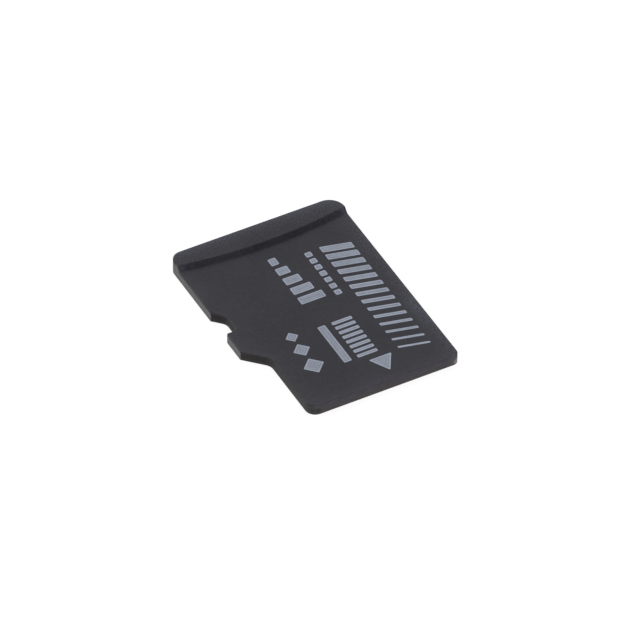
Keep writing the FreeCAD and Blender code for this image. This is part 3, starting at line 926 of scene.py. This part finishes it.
def floor_white(stage):
    """Pale floor that reads white to the camera, keeps the shadow and can be seen through from below."""
    material, tree, surface = bare_material("floor_white")
    paper = place(tree, "ShaderNodeBsdfDiffuse", "paper")
    paper.inputs["Color"].default_value = opaque(stage.floor_colour)
    lift = place(tree, "ShaderNodeEmission", "white lift")
    path = place(tree, "ShaderNodeLightPath", "light path")
    mirrored = maths(tree, "mirrored", "MAXIMUM", path.outputs["Is Glossy Ray"],
                     path.outputs["Is Transmission Ray"])
    seen = maths(tree, "seen or mirrored", "MAXIMUM", path.outputs["Is Camera Ray"], mirrored)
    feed(tree, lift.inputs["Strength"], maths(tree, "lift", "MULTIPLY", seen, WHITE_LIFT))
    both = place(tree, "ShaderNodeAddShader", "paper and lift")
    tree.links.new(paper.outputs[0], both.inputs[0])
    tree.links.new(lift.outputs[0], both.inputs[1])
    clear = place(tree, "ShaderNodeBsdfTransparent", "clear from below")
    geometry = place(tree, "ShaderNodeNewGeometry", "side")
    sides = place(tree, "ShaderNodeMixShader", "upper and lower side")
    tree.links.new(geometry.outputs["Backfacing"], sides.inputs[0])
    tree.links.new(both.outputs[0], sides.inputs[1])
    tree.links.new(clear.outputs[0], sides.inputs[2])
    tree.links.new(sides.outputs[0], surface)
    return material


# Pieces


def finish_nodes(names, material):
    """Give a finish to solids that keep their shape."""
    for name in names:
        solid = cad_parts[name]
        solid.data.materials.clear()
        solid.data.materials.append(material)


def ink_material(finish):
    """The one ink of every printed mark."""
    return bpy.data.materials.get("printed_ink") or printed_ink(finish)


def new_marks():
    """Empty mesh of ink whose vertices carry their gaps to the sides of a mark."""
    mesh = bmesh.new()
    mesh.verts.layers.float_color.new(GAP_LAYER)
    return mesh


def side_planes(vertices):
    """A point and the outward direction of each upright side of a mark."""
    middle = sum((vertex.co for vertex in vertices), Vector()) / len(vertices)
    sides = []
    for face in dict.fromkeys(face for vertex in vertices for face in vertex.link_faces):
        face.normal_update()
        if abs(face.normal.z) > 0.5:
            continue
        point = face.verts[0].co.copy()
        outward = face.normal.copy()
        if outward.dot(point - middle) < 0.0:
            outward.negate()
        sides.append((point, outward))
    return sides


def keep_gaps(mesh, vertices, sides):
    """Write each vertex's distance in millimetres from up to four sides of its mark."""
    layer = mesh.verts.layers.float_color[GAP_LAYER]
    for vertex in vertices:
        gaps = [outward.dot(point - vertex.co) / MM for point, outward in sides]
        vertex[layer] = (gaps + [max(gaps)] * 4)[:4]


def round_corners(mesh, vertices, others, radius, settings):
    """Round the upright edges of a new mark, and write the gaps of all but the other vertices."""
    edges = dict.fromkeys(edge for vertex in vertices for edge in vertex.link_edges)
    half = settings.ink_thickness / 2
    upright = [edge for edge in edges if abs(edge.verts[0].co.z - edge.verts[1].co.z) > half]
    sides = side_planes(vertices)
    bmesh.ops.bevel(mesh, geom=upright, offset=radius, offset_type="OFFSET", affect="EDGES",
                    segments=CORNER_SEGMENTS, profile=0.5, material=-1)
    keep_gaps(mesh, set(mesh.verts) - others, sides)


def add_bar(mesh, centre, along, across, settings, slant=0.0):
    """Upright bar of ink: along runs down the card, across runs to +X, and a slant leans it."""
    others = set(mesh.verts)
    size = Matrix.Diagonal((across, along, settings.ink_thickness, 1.0))
    lean = Matrix.Identity(4)
    lean[1][0] = -math.tan(slant)
    seat = Matrix.Translation((centre[0], centre[1], LABEL_TOP + settings.ink_thickness / 2))
    made = bmesh.ops.create_cube(mesh, size=1.0, matrix=seat @ lean @ size)
    radius = min(settings.ink_rounding, along * LARGEST_CORNER_SHARE, across * LARGEST_CORNER_SHARE)
    round_corners(mesh, made["verts"], others, radius, settings)


def add_figure(mesh, centre, reach, corners, rounding, settings, turn=0.0):
    """Flat regular figure of ink, with its reach from the middle to the corners."""
    others = set(mesh.verts)
    seat = Matrix.Translation((centre[0], centre[1], LABEL_TOP)) @ Matrix.Rotation(turn, 4, "Z")
    made = bmesh.ops.create_circle(mesh, cap_ends=True, segments=corners, radius=reach, matrix=seat)
    face = made["verts"][0].link_faces[0]
    raised = bmesh.ops.extrude_face_region(mesh, geom=[face])
    lifted = [item for item in raised["geom"] if isinstance(item, bmesh.types.BMVert)]
    bmesh.ops.translate(mesh, verts=lifted, vec=(0.0, 0.0, settings.ink_thickness))
    round_corners(mesh, lifted, others, rounding, settings)


def along_row(start, index, pitch):
    """Place of one mark in a row that runs from its start towards the contact end."""
    return start[0], start[1] - index * pitch


def finish_mark(name, mesh, context):
    """Turn a bmesh of ink into a piece that rides on the card."""
    bmesh.ops.recalc_face_normals(mesh, faces=mesh.faces)
    data = bpy.data.meshes.new(name)
    mesh.to_mesh(data)
    mesh.free()
    piece = bpy.data.objects.new(name, data)
    context.scene.collection.objects.link(piece)
    data.materials.append(ink_material(context.scene.card_finish))
    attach(piece, BODY)


class CARD_OT_mould_body(bpy.types.Operator):
    """Give the moulded body its matt face, sawn walls and cut walls."""

    bl_idname = "card.mould_body"
    bl_label = "Moulded Body"

    def execute(self, context):
        finish_nodes(["mould_body"], moulded_epoxy(context.scene.card_finish))
        return {"FINISHED"}


class CARD_OT_substrate(bpy.types.Operator):
    """Give the board its mask and layered edge."""

    bl_idname = "card.substrate"
    bl_label = "Board"

    def execute(self, context):
        finish_nodes(["substrate"], laminate_board(context.scene.card_finish))
        return {"FINISHED"}


class CARD_OT_contacts(bpy.types.Operator):
    """Plate the row of contacts."""

    bl_idname = "card.contacts"
    bl_label = "Contacts"

    def execute(self, context):
        finish_nodes(CONTACT_NODES, contact_gold(context.scene.card_finish))
        return {"FINISHED"}


class CARD_OT_dies(bpy.types.Operator):
    """Finish the dies and the films under them."""

    bl_idname = "card.dies"
    bl_label = "Dies and Films"

    def execute(self, context):
        finish_nodes(DIE_NODES, ground_silicon())
        finish_nodes(FILM_NODES, adhesive_film())
        return {"FINISHED"}


class CARD_OT_bond_wires(bpy.types.Operator):
    """Finish the bond wires."""

    bl_idname = "card.bond_wires"
    bl_label = "Bond Wires"

    def execute(self, context):
        finish_nodes(WIRE_NODES, drawn_gold())
        return {"FINISHED"}


class CARD_OT_chips(bpy.types.Operator):
    """Finish the chip capacitors and resistors."""

    bl_idname = "card.chips"
    bl_label = "Chips"

    def execute(self, context):
        fired = chip_ceramic("fired_capacitor", CAPACITOR_NODES[0], CAPACITOR_COLOUR)
        glazed = chip_ceramic("glazed_resistor", RESISTOR_NODES[0], RESISTOR_COLOUR)
        finish_nodes(CAPACITOR_NODES, fired)
        finish_nodes(RESISTOR_NODES, glazed)
        return {"FINISHED"}


class CARD_OT_print_hatch(bpy.types.Operator):
    """Print the band of slanted bars that thins towards the contact end."""

    bl_idname = "card.print_hatch"
    bl_label = "Hatch Band"

    count: bpy.props.IntProperty(name="Bars", description="Bars in the band", default=14, min=2)

    def execute(self, context):
        settings = context.scene.card_print
        mesh = new_marks()
        for index in range(self.count):
            share = index / (self.count - 1)
            width = settings.hatch_widest + (settings.hatch_narrowest - settings.hatch_widest) * share
            centre = along_row(HATCH_START, index, settings.hatch_pitch)
            add_bar(mesh, centre, width, settings.hatch_height, settings, slant=settings.hatch_slant)
        finish_mark("print_hatch", mesh, context)
        return {"FINISHED"}


class CARD_OT_print_dots(bpy.types.Operator):
    """Print the row of small squares under the band."""

    bl_idname = "card.print_dots"
    bl_label = "Dot Row"

    count: bpy.props.IntProperty(name="Dots", description="Squares in the row", default=7, min=1)

    def execute(self, context):
        settings = context.scene.card_print
        mesh = new_marks()
        for index in range(self.count):
            centre = along_row(DOT_START, index, settings.dot_pitch)
            add_bar(mesh, centre, settings.dot_side, settings.dot_side, settings)
        finish_mark("print_dots", mesh, context)
        return {"FINISHED"}


class CARD_OT_print_levels(bpy.types.Operator):
    """Print the row of rising bars."""

    bl_idname = "card.print_levels"
    bl_label = "Level Bars"

    count: bpy.props.IntProperty(name="Bars", description="Rising bars", default=5, min=1)

    def execute(self, context):
        settings = context.scene.card_print
        mesh = new_marks()
        for index in range(self.count):
            height = settings.level_lowest + index * settings.level_growth
            foot, y = along_row(LEVEL_START, index, settings.level_pitch)
            add_bar(mesh, (foot + height / 2, y), settings.level_width, height, settings)
        finish_mark("print_levels", mesh, context)
        return {"FINISHED"}


class CARD_OT_print_contact_mark(bpy.types.Operator):
    """Print the comb that pictures the row of contacts."""

    bl_idname = "card.print_contact_mark"
    bl_label = "Contact Mark"

    def execute(self, context):
        settings = context.scene.card_print
        mesh = new_marks()
        for index in range(len(CONTACT_NODES)):
            centre = along_row(TOOTH_START, index, settings.tooth_pitch)
            add_bar(mesh, centre, settings.tooth_width, settings.tooth_length, settings)
        add_bar(mesh, COMB_MIDDLE, settings.comb_length, settings.comb_width, settings)
        finish_mark("print_contact_mark", mesh, context)
        return {"FINISHED"}


class CARD_OT_print_arrow(bpy.types.Operator):
    """Print the triangle that points the way in."""

    bl_idname = "card.print_arrow"
    bl_label = "Insertion Arrow"

    def execute(self, context):
        settings = context.scene.card_print
        mesh = new_marks()
        add_figure(mesh, ARROW_MIDDLE, settings.arrow_reach, 3, settings.arrow_rounding, settings,
                   turn=math.pi)
        finish_mark("print_arrow", mesh, context)
        return {"FINISHED"}


class CARD_OT_print_diamonds(bpy.types.Operator):
    """Print the row of growing diamonds."""

    bl_idname = "card.print_diamonds"
    bl_label = "Diamond Row"

    def execute(self, context):
        settings = context.scene.card_print
        mesh = new_marks()
        for y, reach in DIAMONDS:
            add_figure(mesh, (DIAMOND_COLUMN, y), reach, 4, settings.diamond_rounding, settings)
        finish_mark("print_diamonds", mesh, context)
        return {"FINISHED"}


# Stage


def add_floor(context, stage):
    """Square floor that the card lies on."""
    mesh = bmesh.new()
    bmesh.ops.create_grid(mesh, x_segments=1, y_segments=1, size=stage.floor_size / 2)
    data = bpy.data.meshes.new("floor")
    mesh.to_mesh(data)
    mesh.free()
    floor = bpy.data.objects.new("floor", data)
    data.materials.append(floor_white(stage))
    context.scene.collection.objects.link(floor)


def add_softbox(context, name, direction, power):
    """Square soft lamp that looks at the card from a direction."""
    data = bpy.data.lights.new(name, "AREA")
    data.shape = "SQUARE"
    data.size = SOFTBOX_SIDE
    data.energy = power
    lamp = bpy.data.objects.new(name, data)
    towards = Vector(direction).normalized()
    lamp.location = towards * SOFTBOX_DISTANCE
    lamp.rotation_euler = towards.to_track_quat("Z", "Y").to_euler()
    context.scene.collection.objects.link(lamp)


def add_world(context, strength):
    """Even pale light from all round."""
    world = bpy.data.worlds.new("studio")
    world.use_nodes = True
    background = world.node_tree.nodes["Background"]
    background.inputs["Color"].default_value = (1.0, 1.0, 1.0, 1.0)
    background.inputs["Strength"].default_value = strength
    context.scene.world = world


def add_camera(context, stage):
    """Long lens at the photograph's angle."""
    azimuth, elevation, roll = stage.camera_azimuth, stage.camera_elevation, stage.camera_roll
    back = Vector((math.sin(azimuth) * math.cos(elevation), -math.cos(azimuth) * math.cos(elevation),
                   math.sin(elevation)))
    right = Vector((math.cos(azimuth), math.sin(azimuth), 0.0))
    up = back.cross(right)
    turned_right = right * math.cos(roll) + up * math.sin(roll)
    turned_up = up * math.cos(roll) - right * math.sin(roll)
    aim = turned_right * stage.camera_aside + turned_up * stage.camera_above
    data = bpy.data.cameras.new("camera")
    data.lens = stage.camera_lens
    data.sensor_width = SENSOR_MM
    data.clip_start = stage.camera_distance * CLIP_NEAR_SHARE
    data.clip_end = stage.camera_distance * CLIP_FAR_SHARE
    camera = bpy.data.objects.new("camera", data)
    turn = Matrix((turned_right, turned_up, back)).transposed().to_4x4()
    camera.matrix_world = Matrix.Translation(back * stage.camera_distance + aim) @ turn
    context.scene.collection.objects.link(camera)
    context.scene.camera = camera


class CARD_OT_stage(bpy.types.Operator):
    """Set the floor, the soft lamps and the camera."""

    bl_idname = "card.stage"
    bl_label = "Stage"

    def execute(self, context):
        stage = context.scene.card_stage
        add_floor(context, stage)
        add_softbox(context, "key", KEY_DIRECTION, stage.key_power)
        add_softbox(context, "side", SIDE_DIRECTION, stage.side_power)
        add_world(context, stage.world_strength)
        add_camera(context, stage)
        context.scene.view_settings.view_transform = "Standard"
        return {"FINISHED"}


class CARD_PT_panel(bpy.types.Panel):
    """Lists the card's pieces, finishes and stage."""

    bl_idname = "CARD_PT_panel"
    bl_label = "Micro Memory Card"
    bl_space_type = "VIEW_3D"
    bl_region_type = "UI"
    bl_category = "Card"

    def draw(self, context):
        layout = self.layout
        for settings in (context.scene.card_finish, context.scene.card_print, context.scene.card_stage):
            box = layout.box()
            for name in settings.__annotations__:
                box.prop(settings, name)
        for operator in OPERATORS:
            layout.operator(operator.bl_idname)


OPERATORS = (
    CARD_OT_mould_body,
    CARD_OT_substrate,
    CARD_OT_contacts,
    CARD_OT_dies,
    CARD_OT_bond_wires,
    CARD_OT_chips,
    CARD_OT_print_hatch,
    CARD_OT_print_dots,
    CARD_OT_print_levels,
    CARD_OT_print_contact_mark,
    CARD_OT_print_arrow,
    CARD_OT_print_diamonds,
    CARD_OT_stage,
)
SETTINGS = {
    "card_finish": CardFinishSettings,
    "card_print": CardPrintSettings,
    "card_stage": CardStageSettings,
}


def register():
    for settings in SETTINGS.values():
        bpy.utils.register_class(settings)
    for name, settings in SETTINGS.items():
        setattr(bpy.types.Scene, name, bpy.props.PointerProperty(type=settings))
    for operator in OPERATORS:
        bpy.utils.register_class(operator)
    bpy.utils.register_class(CARD_PT_panel)


def unregister():
    bpy.utils.unregister_class(CARD_PT_panel)
    for operator in reversed(OPERATORS):
        bpy.utils.unregister_class(operator)
    for name in SETTINGS:
        delattr(bpy.types.Scene, name)
    for settings in reversed(SETTINGS.values()):
        bpy.utils.unregister_class(settings)


def main():
    register()
    bpy.ops.card.mould_body()
    bpy.ops.card.substrate()
    bpy.ops.card.contacts()
    bpy.ops.card.dies()
    bpy.ops.card.bond_wires()
    bpy.ops.card.chips()
    bpy.ops.card.print_hatch()
    bpy.ops.card.print_dots()
    bpy.ops.card.print_levels()
    bpy.ops.card.print_contact_mark()
    bpy.ops.card.print_arrow()
    bpy.ops.card.print_diamonds()
    bpy.ops.card.stage()


if __name__ == "__main__":
    main()
